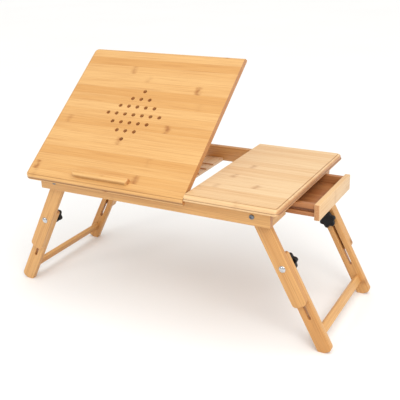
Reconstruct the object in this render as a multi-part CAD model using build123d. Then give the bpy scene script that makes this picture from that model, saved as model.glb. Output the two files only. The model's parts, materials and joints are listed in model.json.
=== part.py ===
from build123d import *
from math import atan2, cos, degrees, hypot, radians, sin
import os

# A bamboo bed table for a laptop, shown in use: the left part of the top is a
# reading panel that tilts on two hinges at its front edge, the right part is
# fixed and has a drawer under it that pulls out to the right, and four
# splayed legs fold in under the frame and change their length.
# Millimetres. X runs to the right, Y to the back, Z up.

# ---------------------------------------------------------------- top panels
table_length = 550.0          # left edge to right edge of the level top
table_depth = 348.0           # front edge to back edge
table_height = 285.0          # floor to the level top, legs fully out
panel_thickness = 12.0
fixed_panel_width = 183.0
panel_gap = 1.5               # between the tilting and the fixed panel
panel_seat_gap = 0.2          # tilting panel to the rails when it lies level
panel_corner_radius = 12.0    # outer corners seen from above
bead_height = 4.5             # round bead along the bottom of a moulded edge
cove_inset = 1.4              # the upper moulding stands back by this
fillet_line_inset = 6.0       # the flat top starts this far from the cove
fillet_line_height = 1.2      # little step where the flat top starts
edge_round = 4.5              # quarter round between step and bead

# ------------------------------------------------------------ vent holes
vent_radius = 4.1
vent_pitch = 20.2
vent_off_centre = 3.0         # the pattern sits a little left of the middle
vent_rows = (1, 3, 5, 7, 5, 3, 1)

# ------------------------------------------------------------ stop ledge
ledge_length = 129.0
ledge_depth = 11.0
ledge_height = 10.0
ledge_from_edge = 16.0        # front edge of the panel to the ledge's front

# ------------------------------------------------------------ frame
rail_thickness = 12.0
end_rail_thickness = 10.0
rail_height = 32.0
front_overhang = 20.0         # front edge of the top to the front rail's face
rear_overhang = 12.0
end_overhang = 23.5           # panel edge to the outer face of the end rails

# ------------------------------------------------------------ panel hinges
tilt_angle = 37.5             # panel angle at rest, the steepest notch
hinge_length = 40.0
hinge_inset = 62.0            # hinge centre from the panel's side edges
leaf_thickness = 1.2
leaf_width = 9.5
leaf_gap = 0.3                # between the two closed leaves
barrel_radius = 2.5
barrel_clearance = 0.4        # barrel to rail face and to the panel's relief
hinge_pin_radius = 1.0
knuckle_gap = 0.4

# ------------------------------------------------------------ legs
leg_splay = 27.5              # from the vertical, outwards
leg_width = 28.0
leg_thickness = 12.0
leg_layer_gap = 0.3           # between the sliding slats
pivot_below_rail_top = 15.5
stop_clearance = 0.2          # slat to the end rail that stops the splay
upper_leg_length = 188.0      # pivot to the lower end of the upper slat
clamp_from_pivot = 111.0
lower_leg_top = 87.0          # pivot to the top end of the lower slat, legs out
leg_end_round = 8.0
foot_cut = 5.0                # height cut off the foot's corner to stand flat
leg_travel = 92.0             # how far the lower slats slide up
slot_slack = 14.0             # slot left over past the travel
stretcher_from_foot = 34.0    # slat end to the stretcher's middle
stretcher_width = 17.5
stretcher_thickness = 9.0
stretcher_tenon = 5.0

# ------------------------------------------------------------ leg fittings
bolt_radius = 2.6
bolt_running_clearance = 0.08
bolt_fixed_clearance = 0.05
slot_side_clearance = 0.4
pivot_head_radius = 5.5
pivot_head_height = 2.4
pivot_spacer_radius = 8.0
pivot_spacer_room = 4.5       # rail face to slat, room for the clamp bolt's head
nut_head_radius = 6.5
nut_head_height = 2.0
clamp_head_radius = 6.5
clamp_head_height = 3.2
counterbore_clearance = 0.6
counterbore_extra_depth = 0.6
knob_washer_radius = 9.0
knob_washer_thickness = 1.2
knob_gap = 0.2
knob_radius = 17.0
knob_lobes = 6
knob_lobe_radius = 5.0
knob_hub_radius = 8.0
knob_hub_height = 5.0
knob_head_height = 9.0
knob_bore_clearance = 0.06
bolt_end_short_of_knob = 3.0

# ------------------------------------------------------------ prop and racks
prop_pin_from_hinge = 110.0   # panel hinge axis to the prop's pins
prop_pin_drop = 7.0           # pin below the panel's underside
prop_arm_width = 12.0         # along X
prop_arm_thickness = 9.0
prop_pin_radius = 1.5
prop_pin_clearance = 0.08
prop_foot_radius = 4.0
prop_foot_clearance = 0.3
prop_bar_height = 14.0        # upper cross bar, along the arms
prop_bar_from_pin = 22.0
prop_arm_inside_rack = 6.0    # rack edge to the arm beside it
foot_bar_end_gap = 2.0
bracket_plate = 1.2
bracket_side_gap = 0.5
bracket_length = 22.0
bracket_flange = 9.0
ear_radius = 4.4

rack_width = 20.0             # the left rack
middle_rack_width = 38.0
rack_thickness = 6.5
rack_housing = 6.0            # how far the middle rack is let into the rails
rest_notch_from_hinge = 157.0
notch_pitch = 33.0
notch_count = 4
notch_depth = 3.0
notch_ramp = 15.0
left_rack_end_gap = 43.0      # long rail to the end of the left rack
left_rack_flange = 8.0
left_rack_flange_height = 24.0
middle_rack_x = -9.0

# ------------------------------------------------------------ drawer
drawer_open = 54.0            # pulled out at rest
drawer_front_length = 178.0
drawer_front_height = 30.5
drawer_front_thickness = 10.0
drawer_front_below_panel = 3.0
drawer_front_gap = 0.3        # closed front to the end rails
drawer_front_margin = 5.0     # front board past the drawer side
drawer_side_thickness = 10.0
drawer_side_height = 23.0
drawer_side_below_panel = 6.0
drawer_box_length = 150.0
drawer_back_thickness = 8.0
drawer_bottom_thickness = 3.6
drawer_bottom_groove = 4.0
drawer_bottom_rise = 2.5      # side's lower edge to the bottom board
groove_height = 6.0
groove_depth = 4.0
groove_above_side_foot = 11.0
runner_clearance = 0.4
guide_gap = 2.0               # drawer side to guide board
guide_thickness = 10.0
guide_height = 28.0
guide_length = 143.0

# ------------------------------------------------------------ screws
rack_screw_head_radius = 2.4
screw_head_height = 1.2
screw_shank_radius = 1.4
screw_length = 9.0
end_screw_head_radius = 4.2
end_screw_drop = 14.0         # below the rail's top
end_screw_spacing = 70.0
hinge_screw_head_radius = 1.9
hinge_screw_head_height = 0.5
hinge_screw_length = 7.0
hinge_screw_spacing = 24.0
countersink_clearance = 0.1

# ------------------------------------------------------- derived places
panel_bottom = table_height - panel_thickness
rail_top = panel_bottom - panel_seat_gap
rail_bottom = rail_top - rail_height
rail_outer_y = (table_depth - front_overhang - rear_overhang) / 2
top_front_y = -rail_outer_y - front_overhang
top_back_y = rail_outer_y + rear_overhang
rail_inner_y = rail_outer_y - rail_thickness
end_outer_x = table_length / 2 - end_overhang
end_inner_x = end_outer_x - end_rail_thickness
fixed_left_x = table_length / 2 - fixed_panel_width
tilt_right_x = fixed_left_x - panel_gap
tilt_left_x = -table_length / 2
tilt_middle_x = (tilt_left_x + tilt_right_x) / 2
vent_middle_x = tilt_middle_x - vent_off_centre

frame_leaf_top = panel_bottom - leaf_thickness - leaf_gap
frame_leaf_bottom = frame_leaf_top - leaf_thickness
hinge_y = -rail_outer_y - barrel_radius - barrel_clearance
hinge_z = (panel_bottom - leaf_thickness + frame_leaf_top) / 2
hinge_xs = (tilt_left_x + hinge_inset, tilt_right_x - hinge_inset)

pivot_z = rail_top - pivot_below_rail_top
splay = radians(leg_splay)
pivot_to_rail_bottom = pivot_z - rail_bottom
pivot_x = end_inner_x - (leg_width / 2 + stop_clearance
                         + pivot_to_rail_bottom * sin(splay)) / cos(splay)
lower_leg_end = (pivot_z + foot_cut - leg_width / 2 * sin(splay)) / cos(splay)
upper_leg_y = rail_inner_y - pivot_spacer_room
lower_leg_y = upper_leg_y - leg_thickness - leg_layer_gap
lower_leg_inner_y = lower_leg_y - leg_thickness
knob_y = lower_leg_inner_y - knob_washer_thickness - knob_gap

rack_top = rail_bottom + rack_thickness
left_rack_x = -end_inner_x + rack_width / 2
rack_end_y = rail_inner_y - left_rack_end_gap
foot_bar_z = rack_top + prop_foot_clearance + prop_foot_radius
foot_bar_y = hinge_y + rest_notch_from_hinge
prop_pin_z = panel_bottom - prop_pin_drop   # with the panel level
prop_pin_y = hinge_y + prop_pin_from_hinge

drawer_side_y = drawer_front_length / 2 - drawer_front_margin
guide_y = drawer_side_y + guide_gap
drawer_front_x = end_outer_x + drawer_front_gap + drawer_open
drawer_back_x = drawer_front_x - drawer_box_length
drawer_side_top = rail_top - drawer_side_below_panel
drawer_side_bottom = drawer_side_top - drawer_side_height
groove_z = drawer_side_bottom + groove_above_side_foot


# ---------------------------------------------------------------- helpers
def block(x0, x1, y0, y1, z0, z1):
    """A box between two corners."""
    centre = ((x0 + x1) / 2, (y0 + y1) / 2, (z0 + z1) / 2)
    return Pos(*centre) * Box(abs(x1 - x0), abs(y1 - y0), abs(z1 - z0))


def rod_x(x0, x1, y, z, radius):
    return Pos((x0 + x1) / 2, y, z) * Rot(0, 90, 0) * Cylinder(radius, abs(x1 - x0))


def rod_y(x, y0, y1, z, radius):
    return Pos(x, (y0 + y1) / 2, z) * Rot(90, 0, 0) * Cylinder(radius, abs(y1 - y0))


def rod_z(x, y, z0, z1, radius):
    return Pos(x, y, (z0 + z1) / 2) * Cylinder(radius, abs(z1 - z0))


def group(solids):
    """Separate solids that share one node."""
    return Compound([s.solid() for s in solids])


def mirror_y(shape):
    return mirror(shape, about=Plane.XZ)


def mirror_x(shape):
    return mirror(shape, about=Plane.YZ)


def about_axis(shape, y, z, angle):
    """Turn a shape about the line along X through y, z."""
    return Pos(0, y, z) * Rot(angle, 0, 0) * Pos(0, -y, -z) * shape


def tilted(shape):
    """Carry a piece of the level panel to the tilted place."""
    return about_axis(shape, hinge_y, hinge_z, tilt_angle)


# ---------------------------------------------------------------- panels
def slab(x0, x1, z0, z1, inset, moulded_right):
    """One layer of a panel, set back from its moulded edges."""
    radius = panel_corner_radius - inset
    left = x0 if moulded_right else x0 + inset
    right = x1 - inset if moulded_right else x1
    layer = block(left, right, top_front_y + inset, top_back_y - inset, z0, z1)
    side = Axis.X
    corners = layer.edges().filter_by(Axis.Z).group_by(side)[-1 if moulded_right else 0]
    return fillet(corners, radius)


def moulded_panel(x0, x1, bottom, moulded_right):
    """A panel with three moulded edges and one plain edge.

    From the floor up the edge has a round bead, a quarter round that stands
    back a little, and a small step where the flat top begins."""
    bead_top = bottom + bead_height
    step_z = table_height - fillet_line_height
    step_inset = cove_inset + fillet_line_inset
    bead = slab(x0, x1, bottom, bead_top, 0, moulded_right)
    body = slab(x0, x1, bead_top, step_z, cove_inset, moulded_right)
    top = slab(x0, x1, step_z, table_height, step_inset, moulded_right)
    plain_x = x0 if moulded_right else x1

    def moulded_rim(layer, z):
        on_level = [e for e in layer.edges() if abs(e.center().Z - z) < 1e-3]
        return [e for e in on_level if abs(e.center().X - plain_x) > 1e-3]

    body = fillet(moulded_rim(body, step_z), edge_round)
    bead = fillet(moulded_rim(bead, bead_top) + moulded_rim(bead, bottom), bead_height * 0.3)
    return (bead + body + top).clean()


def tilt_panel():
    panel = moulded_panel(tilt_left_x, tilt_right_x, panel_bottom, moulded_right=False)
    middle_row = (len(vent_rows) - 1) / 2
    holes = []
    for row, count in enumerate(vent_rows):
        for column in range(count):
            x = vent_middle_x + (column - (count - 1) / 2) * vent_pitch
            y = (middle_row - row) * vent_pitch
            holes.append(rod_z(x, y, panel_bottom - 1, table_height + 1, vent_radius))
    panel = panel - holes
    relief = barrel_radius + barrel_clearance
    for x in hinge_xs:
        half = hinge_length / 2 + knuckle_gap
        panel -= rod_x(x - half, x + half, hinge_y, hinge_z, relief)
    panel -= panel_leaf_screws(countersink_clearance)
    panel -= bracket_screws(countersink_clearance)
    return tilted(panel)


def fixed_panel():
    return moulded_panel(fixed_left_x, table_length / 2, rail_top, moulded_right=True)


def stop_ledge():
    """A low bar that keeps the laptop on the tilted panel."""
    front = top_front_y + ledge_from_edge
    x0 = vent_middle_x - ledge_length / 2
    x1 = vent_middle_x + ledge_length / 2
    bar = block(x0, x1, front, front + ledge_depth, table_height, table_height + ledge_height)
    ends = [e for e in bar.edges().filter_by(Axis.Z) if e.center().Y < front + 1]
    bar = fillet(ends, ledge_depth * 0.6)
    top = bar.edges().group_by(Axis.Z)[-1]
    rounded = [e for e in top if e.center().Y < front + ledge_depth - 1e-3]
    return tilted(fillet(rounded, ledge_height * 0.3))


# ---------------------------------------------------------------- frame
def long_rail():
    """The rear rail: housing for the middle rack, holes for two pivot bolts."""
    rail = block(-end_outer_x, end_outer_x, rail_inner_y, rail_outer_y, rail_bottom, rail_top)
    half = middle_rack_width / 2
    rail -= block(middle_rack_x - half, middle_rack_x + half, rail_inner_y,
                  rail_inner_y + rack_housing, rail_bottom, rack_top)
    for x in (-pivot_x, pivot_x):
        rail -= rod_y(x, rail_inner_y - 1, rail_outer_y + 1, pivot_z,
                      bolt_radius + bolt_fixed_clearance)
    return rail - rack_screws(countersink_clearance)[1]


def front_rail():
    rail = mirror_y(long_rail())
    for x in hinge_xs:
        rail -= block(x - hinge_length / 2, x + hinge_length / 2, -rail_outer_y,
                      -rail_outer_y + leaf_width, frame_leaf_bottom, rail_top)
    return rail - frame_leaf_screws(countersink_clearance)


def left_end_rail():
    rail = block(-end_outer_x, -end_inner_x, -rail_inner_y, rail_inner_y, rail_bottom, rail_top)
    return rail - left_rack_screws(countersink_clearance)


def right_end_rail():
    """Short end rail between the rear rail and the drawer opening."""
    return block(end_inner_x, end_outer_x, guide_y, rail_inner_y, rail_bottom, rail_top)


def notch_ys():
    return [foot_bar_y + i * notch_pitch for i in range(notch_count)]


def cut_notches(rack, x0, x1):
    """Saw-tooth notches: a ramp down to the back, then an upright wall."""
    for y in notch_ys():
        wall = y + prop_foot_radius
        outline = Polyline((wall, rack_top + 1), (wall, rack_top - notch_depth),
                           (wall - notch_ramp, rack_top), (wall - notch_ramp, rack_top + 1),
                           close=True)
        face = Plane.YZ.offset(x0) * make_face(outline)
        rack -= extrude(face, x1 - x0, dir=(1, 0, 0))
    return rack


def middle_rack():
    half = middle_rack_width / 2
    x0, x1 = middle_rack_x - half, middle_rack_x + half
    reach = rail_inner_y + rack_housing
    rack = block(x0, x1, -reach, reach, rail_bottom, rack_top)
    return cut_notches(rack, x0, x1) - rack_screws(countersink_clearance)


def left_rack():
    """A rack with an upright flange, screwed to the left end rail."""
    x0, x1 = -end_inner_x, -end_inner_x + rack_width
    rack = block(x0, x1, -rack_end_y, rack_end_y, rail_bottom, rack_top)
    rack = cut_notches(rack, x0, x1)
    rack += block(x0, x0 + left_rack_flange, -rack_end_y, rack_end_y,
                  rail_bottom, rail_bottom + left_rack_flange_height)
    return rack - left_rack_screws(0)


def screw(point, direction, head_radius, head_height, length, clearance=0.0):
    """A flat-headed screw whose head starts at the point."""
    place = Plane(origin=point, z_dir=direction)
    head = Cylinder(head_radius + clearance, head_height,
                    align=(Align.CENTER, Align.CENTER, Align.MIN))
    shank = Cylinder(screw_shank_radius, length, align=(Align.CENTER, Align.CENTER, Align.MIN))
    return place * (head + shank)


def rack_screws(clearance):
    """Screws from below through the middle rack's ends: front, then rear."""
    y = rail_inner_y + rack_housing / 2
    return [screw((middle_rack_x, side * y, rail_bottom), (0, 0, 1), rack_screw_head_radius,
                  screw_head_height, rack_thickness + screw_length, clearance)
            for side in (-1, 1)]


def left_rack_screws(clearance):
    """Screws through the left end rail into the left rack."""
    z = rail_top - end_screw_drop
    return [screw((-end_outer_x, i * end_screw_spacing, z), (1, 0, 0), end_screw_head_radius,
                  screw_head_height, end_rail_thickness + left_rack_flange - 1, clearance)
            for i in (-1, 0, 1)]


# ---------------------------------------------------------------- panel hinges
def barrel(x0, x1):
    """A knuckle of a hinge, bored for its pin."""
    return (rod_x(x0, x1, hinge_y, hinge_z, barrel_radius)
            - rod_x(x0 - 1, x1 + 1, hinge_y, hinge_z, hinge_pin_radius))


def frame_leaf(x):
    """The leaf in the front rail's mortise, with the two outer knuckles."""
    third = hinge_length / 3
    plate = block(x - hinge_length / 2, x + hinge_length / 2, hinge_y,
                  -rail_outer_y + leaf_width, frame_leaf_bottom, frame_leaf_top)
    plate -= block(x - third / 2 - knuckle_gap, x + third / 2 + knuckle_gap, hinge_y - 1,
                   -rail_outer_y, frame_leaf_bottom - 1, rail_top + 1)
    plate -= rod_x(x - hinge_length, x + hinge_length, hinge_y, hinge_z, barrel_radius * 0.9)
    leaf = plate
    for side in (-1, 1):
        inner = x + side * (third / 2 + knuckle_gap)
        leaf += barrel(min(inner, x + side * hinge_length / 2),
                       max(inner, x + side * hinge_length / 2))
    return leaf - frame_leaf_screws(0)


def panel_leaf(x):
    """The leaf under the tilting panel, with the middle knuckle."""
    third = hinge_length / 3
    low = panel_bottom - leaf_thickness
    plate = block(x - hinge_length / 2, x + hinge_length / 2, -rail_outer_y,
                  -rail_outer_y + leaf_width, low, panel_bottom)
    plate += block(x - third / 2, x + third / 2, hinge_y, -rail_outer_y, low, panel_bottom)
    plate -= rod_x(x - hinge_length, x + hinge_length, hinge_y, hinge_z, barrel_radius * 0.9)
    leaf = plate + barrel(x - third / 2, x + third / 2)
    return tilted(leaf - panel_leaf_screws(0))


def leaf_screw_places():
    y = -rail_outer_y + leaf_width * 0.55
    return [(x + side * hinge_screw_spacing / 2, y) for x in hinge_xs for side in (-1, 1)]


def frame_leaf_screws(clearance):
    return [screw((x, y, frame_leaf_top), (0, 0, -1), hinge_screw_head_radius, hinge_screw_head_height,
                  hinge_screw_length, clearance) for x, y in leaf_screw_places()]


def panel_leaf_screws(clearance):
    """With the panel level; the caller tilts them."""
    z = panel_bottom - leaf_thickness
    return [screw((x, y, z), (0, 0, 1), hinge_screw_head_radius, hinge_screw_head_height,
                  hinge_screw_length, clearance) for x, y in leaf_screw_places()]


def hinge_pins():
    half = hinge_length / 2
    return [rod_x(x - half, x + half, hinge_y, hinge_z, hinge_pin_radius) for x in hinge_xs]


# ---------------------------------------------------------------- prop
def prop_arm_xs():
    half = prop_arm_width / 2
    left = -end_inner_x + rack_width + prop_arm_inside_rack + half
    right = middle_rack_x - middle_rack_width / 2 - prop_arm_inside_rack - half
    return left, right


def prop_rest():
    """Pin and foot at rest, and the arm's length and slope below level."""
    turn = radians(tilt_angle)
    dy, dz = prop_pin_y - hinge_y, prop_pin_z - hinge_z
    pin_y = hinge_y + dy * cos(turn) - dz * sin(turn)
    pin_z = hinge_z + dy * sin(turn) + dz * cos(turn)
    length = hypot(foot_bar_y - pin_y, foot_bar_z - pin_z)
    slope = degrees(atan2(pin_z - foot_bar_z, foot_bar_y - pin_y))
    return pin_y, pin_z, length, slope


def lean(shape):
    """Carry a prop piece, made with its pin at Y = Z = 0 and its arm along
    +Y, to its place at rest."""
    pin_y, pin_z, length, slope = prop_rest()
    return Pos(0, pin_y, pin_z) * Rot(-slope, 0, 0) * shape


def prop_arm(x):
    length = prop_rest()[2]
    half = prop_arm_thickness / 2
    arm = block(x - prop_arm_width / 2, x + prop_arm_width / 2, 0, length, -half, half)
    for y in (0, length):
        arm += rod_x(x - prop_arm_width / 2, x + prop_arm_width / 2, y, 0, half)
    arm -= rod_x(x - prop_arm_width, x + prop_arm_width, 0, 0,
                 prop_pin_radius + prop_pin_clearance)
    arm -= rod_x(x - prop_arm_width, x + prop_arm_width, length, 0, prop_foot_radius)
    return lean(arm)


def prop_foot_bar():
    """The round bar that drops into the notches of both racks."""
    x0 = -end_inner_x + left_rack_flange + foot_bar_end_gap
    x1 = middle_rack_x + middle_rack_width / 2 - foot_bar_end_gap
    return lean(rod_x(x0, x1, prop_rest()[2], 0, prop_foot_radius))


def prop_cross_bar():
    left, right = prop_arm_xs()
    half = prop_arm_thickness / 2
    return lean(block(left + prop_arm_width / 2, right - prop_arm_width / 2, prop_bar_from_pin,
                      prop_bar_from_pin + prop_bar_height, -half, half))


def prop_bracket(x):
    """A bent steel saddle under the panel with an ear each side of an arm."""
    inner = prop_arm_width / 2 + bracket_side_gap
    outer = inner + bracket_plate
    plate = block(x - outer - bracket_flange, x + outer + bracket_flange,
                  prop_pin_y - bracket_length / 2, prop_pin_y + bracket_length / 2,
                  panel_bottom - bracket_plate, panel_bottom)
    saddle = plate
    for side in (-1, 1):
        x0, x1 = sorted((x + side * inner, x + side * outer))
        saddle += block(x0, x1, prop_pin_y - ear_radius, prop_pin_y + ear_radius,
                        prop_pin_z, panel_bottom)
        saddle += rod_x(x0, x1, prop_pin_y, prop_pin_z, ear_radius)
    saddle -= rod_x(x - outer - 1, x + outer + 1, prop_pin_y, prop_pin_z, prop_pin_radius)
    return tilted(saddle - bracket_screws(0))


def bracket_screws(clearance):
    """With the panel level; the caller tilts them."""
    reach = prop_arm_width / 2 + bracket_side_gap + bracket_plate + bracket_flange / 2
    return [screw((x + side * reach, prop_pin_y, panel_bottom - bracket_plate), (0, 0, 1),
                  hinge_screw_head_radius, hinge_screw_head_height, hinge_screw_length,
                  clearance) for x in prop_arm_xs() for side in (-1, 1)]


def prop_pins():
    reach = prop_arm_width / 2 + bracket_side_gap + bracket_plate
    return [tilted(rod_x(x - reach, x + reach, prop_pin_y, prop_pin_z, prop_pin_radius))
            for x in prop_arm_xs()]


# ---------------------------------------------------------------- legs
def splayed(shape):
    """Carry a right-hand leg piece, made with its pivot at X = Z = 0 and the
    leg straight down, to its splayed place."""
    return Pos(pivot_x, 0, pivot_z) * Rot(0, -leg_splay, 0) * shape


def slat(top, bottom, y_outer):
    half = leg_width / 2
    return block(-half, half, y_outer - leg_thickness, y_outer, -bottom, -top)


def upright_edges(shape, z):
    """The edges along Y at the end of a slat that lies at this height."""
    return [e for e in shape.edges().filter_by(Axis.Y) if abs(e.center().Z - z) < 1e-3]


def upper_leg():
    """Rear right upper slat: it turns on the pivot bolt and holds the clamp bolt."""
    leg = slat(0, upper_leg_length, upper_leg_y)
    leg = fillet(upright_edges(leg, -upper_leg_length), leg_end_round)
    leg += rod_y(0, upper_leg_y - leg_thickness, upper_leg_y, 0, leg_width / 2)
    y_in, y_out = upper_leg_y - leg_thickness, upper_leg_y
    leg -= rod_y(0, y_in - 1, y_out + 1, 0, bolt_radius + bolt_running_clearance)
    leg -= rod_y(0, y_in - 1, y_in + nut_head_height + counterbore_extra_depth, 0,
                 nut_head_radius + counterbore_clearance)
    leg -= rod_y(0, y_in - 1, y_out + 1, -clamp_from_pivot,
                 bolt_radius + bolt_fixed_clearance)
    return splayed(leg)


def lower_leg():
    """Rear right lower slat: slotted for the clamp bolt, cut level at the foot."""
    leg = slat(lower_leg_top, lower_leg_end, lower_leg_y)
    leg = fillet(upright_edges(leg, -lower_leg_top), leg_end_round * 0.6)
    outer_foot = [e for e in upright_edges(leg, -lower_leg_end) if e.center().X > 0]
    leg = fillet(outer_foot, leg_end_round)
    y_in, y_out = lower_leg_inner_y - 1, lower_leg_y + 1
    half = bolt_radius + slot_side_clearance
    low = clamp_from_pivot + leg_travel + slot_slack
    leg -= block(-half, half, y_in, y_out, -low, -clamp_from_pivot)
    for k in (clamp_from_pivot, low):
        leg -= rod_y(0, y_in, y_out, -k, half)
    stretcher_k = lower_leg_end - stretcher_from_foot
    leg -= block(-stretcher_thickness / 2, stretcher_thickness / 2, y_in,
                 lower_leg_inner_y + stretcher_tenon,
                 -stretcher_k - stretcher_width / 2, -stretcher_k + stretcher_width / 2)
    leg = splayed(leg)
    floor = block(0, table_length, 0, table_depth, -table_height, 0)
    return leg - floor


def stretcher():
    reach = lower_leg_inner_y + stretcher_tenon
    k = lower_leg_end - stretcher_from_foot
    return splayed(block(-stretcher_thickness / 2, stretcher_thickness / 2, -reach, reach,
                         -k - stretcher_width / 2, -k + stretcher_width / 2))


def pivot_bolt():
    """Rear right pivot bolt: low round head on the rail, nut in the slat."""
    head = rod_y(pivot_x, rail_outer_y, rail_outer_y + pivot_head_height, pivot_z,
                 pivot_head_radius)
    rim = head.edges().group_by(Axis.Y)[-1]
    head = fillet(rim, pivot_head_height * 0.6)
    y_in = upper_leg_y - leg_thickness
    nut = rod_y(pivot_x, y_in, y_in + nut_head_height, pivot_z, nut_head_radius)
    return head + nut + rod_y(pivot_x, y_in, rail_outer_y, pivot_z, bolt_radius)


def pivot_spacer():
    ring = rod_y(pivot_x, upper_leg_y + leg_layer_gap / 2, rail_inner_y, pivot_z,
                 pivot_spacer_radius)
    return ring - rod_y(pivot_x, upper_leg_y - 1, rail_outer_y, pivot_z, bolt_radius)


def clamp_bolt():
    """Rear right clamp bolt: domed head on the outer face of the upper slat."""
    head = rod_y(0, upper_leg_y, upper_leg_y + clamp_head_height, -clamp_from_pivot,
                 clamp_head_radius)
    rim = head.edges().group_by(Axis.Y)[-1]
    head = fillet(rim, clamp_head_height * 0.7)
    end = knob_y - knob_hub_height - knob_head_height + bolt_end_short_of_knob
    shank = rod_y(0, end, upper_leg_y, -clamp_from_pivot, bolt_radius)
    return splayed(head + shank)


def knob_washer():
    ring = rod_y(0, lower_leg_inner_y - knob_washer_thickness, lower_leg_inner_y - knob_gap,
                 -clamp_from_pivot, knob_washer_radius)
    return splayed(ring - rod_y(0, 0, rail_outer_y, -clamp_from_pivot, bolt_radius))


def star_knob():
    """Rear right star knob on the inner side of the leg."""
    hub = rod_y(0, knob_y - knob_hub_height, knob_y, -clamp_from_pivot, knob_hub_radius)
    core_radius = knob_radius - knob_lobe_radius
    y1 = knob_y - knob_hub_height
    y0 = y1 - knob_head_height
    star = rod_y(0, y0, y1, -clamp_from_pivot, core_radius)
    for i in range(knob_lobes):
        turn = radians(360 / knob_lobes * i)
        x, z = core_radius * cos(turn), core_radius * sin(turn)
        star += rod_y(x, y0, y1, -clamp_from_pivot + z, knob_lobe_radius)
    bore_end = y0 + bolt_end_short_of_knob - 1
    knob = hub + star
    knob -= rod_y(0, bore_end, knob_y + 1, -clamp_from_pivot, bolt_radius + knob_bore_clearance)
    return splayed(knob)


# ---------------------------------------------------------------- drawer
def drawer_front():
    half = drawer_front_length / 2
    top = rail_top - drawer_front_below_panel
    x0, x1 = drawer_front_x, drawer_front_x + drawer_front_thickness
    return block(x0, x1, -half, half, top - drawer_front_height, top)


def drawer_side():
    """Rear side board, grooved outside for the runner and inside for the bottom."""
    y_in, y_out = drawer_side_y - drawer_side_thickness, drawer_side_y
    side = block(drawer_back_x, drawer_front_x, y_in, y_out, drawer_side_bottom, drawer_side_top)
    side -= block(drawer_back_x, drawer_front_x, y_out - groove_depth, y_out,
                  groove_z - groove_height / 2, groove_z + groove_height / 2)
    z = drawer_side_bottom + drawer_bottom_rise
    return side - block(drawer_back_x, drawer_front_x, y_in, y_in + drawer_bottom_groove,
                        z, z + drawer_bottom_thickness)


def drawer_back():
    half = drawer_side_y - drawer_side_thickness
    low = drawer_side_bottom + drawer_bottom_rise + drawer_bottom_thickness
    return block(drawer_back_x, drawer_back_x + drawer_back_thickness, -half, half,
                 low, drawer_side_top)


def drawer_bottom():
    half = drawer_side_y - drawer_side_thickness + drawer_bottom_groove
    low = drawer_side_bottom + drawer_bottom_rise
    return block(drawer_back_x, drawer_front_x, -half, half, low, low + drawer_bottom_thickness)


def drawer_guide():
    """Rear guide board, fixed under the panel and against the end rail."""
    return block(end_inner_x - guide_length, end_inner_x, guide_y, guide_y + guide_thickness,
                 rail_top - guide_height, rail_top)


def drawer_runner():
    """Rear runner strip on the guide board, in the drawer side's groove."""
    tip = drawer_side_y - groove_depth + runner_clearance
    half = groove_height / 2 - runner_clearance
    return block(end_inner_x - guide_length, end_inner_x, tip, guide_y,
                 groove_z - half, groove_z + half)


# ---------------------------------------------------------------- assembly
def leg_nodes(side, place):
    """The pieces of one pair of legs, front and rear, and their fittings."""
    rear = {"upper_leg": upper_leg(), "lower_leg": lower_leg(), "knob": star_knob()}
    nodes = {}
    for name, shape in rear.items():
        nodes[f"{side}_rear_{name}"] = place(shape)
        nodes[f"{side}_front_{name}"] = place(mirror_y(shape))
    nodes[f"{side}_stretcher"] = place(stretcher())
    for name, shape in (("clamp_bolts", clamp_bolt()), ("knob_washers", knob_washer())):
        nodes[f"{side}_{name}"] = group([place(shape), place(mirror_y(shape))])
    return nodes


def four_times(shape):
    """A rear right piece at all four legs."""
    pair = [shape, mirror_y(shape)]
    return group(pair + [mirror_x(s) for s in pair])


def all_nodes():
    nodes = {
        "front_rail": front_rail(),
        "rear_rail": long_rail(),
        "left_end_rail": left_end_rail(),
        "right_end_rail_rear": right_end_rail(),
        "right_end_rail_front": mirror_y(right_end_rail()),
        "fixed_panel": fixed_panel(),
        "middle_rack": middle_rack(),
        "left_rack": left_rack(),
        "middle_rack_screws": group(rack_screws(0)),
        "left_rack_screws": group(left_rack_screws(0)),
        "hinge_frame_leaves": group([frame_leaf(x) for x in hinge_xs]),
        "hinge_frame_screws": group(frame_leaf_screws(0)),
        "hinge_pins": group(hinge_pins()),
        "drawer_guide_rear": drawer_guide(),
        "drawer_guide_front": mirror_y(drawer_guide()),
        "drawer_runner_rear": drawer_runner(),
        "drawer_runner_front": mirror_y(drawer_runner()),
        "pivot_bolts": four_times(pivot_bolt()),
        "pivot_spacers": four_times(pivot_spacer()),
        "tilt_panel": tilt_panel(),
        "stop_ledge": stop_ledge(),
        "hinge_panel_leaves": group([panel_leaf(x) for x in hinge_xs]),
        "hinge_panel_screws": group([tilted(s) for s in panel_leaf_screws(0)]),
        "prop_brackets": group([prop_bracket(x) for x in prop_arm_xs()]),
        "prop_bracket_screws": group([tilted(s) for s in bracket_screws(0)]),
        "prop_pins": group(prop_pins()),
        "prop_arm_left": prop_arm(prop_arm_xs()[0]),
        "prop_arm_right": prop_arm(prop_arm_xs()[1]),
        "prop_cross_bar": prop_cross_bar(),
        "prop_foot_bar": prop_foot_bar(),
        "drawer_front": drawer_front(),
        "drawer_side_rear": drawer_side(),
        "drawer_side_front": mirror_y(drawer_side()),
        "drawer_back": drawer_back(),
        "drawer_bottom": drawer_bottom(),
    }
    nodes.update(leg_nodes("right", lambda shape: shape))
    nodes.update(leg_nodes("left", mirror_x))
    return nodes


def base_shift(nodes):
    """What puts the origin at the middle of the whole object's footprint."""
    boxes = [shape.bounding_box() for shape in nodes.values()]
    x_sum = min(b.min.X for b in boxes) + max(b.max.X for b in boxes)
    y_sum = min(b.min.Y for b in boxes) + max(b.max.Y for b in boxes)
    return Pos(-x_sum / 2, -y_sum / 2, -min(b.min.Z for b in boxes))


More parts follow.
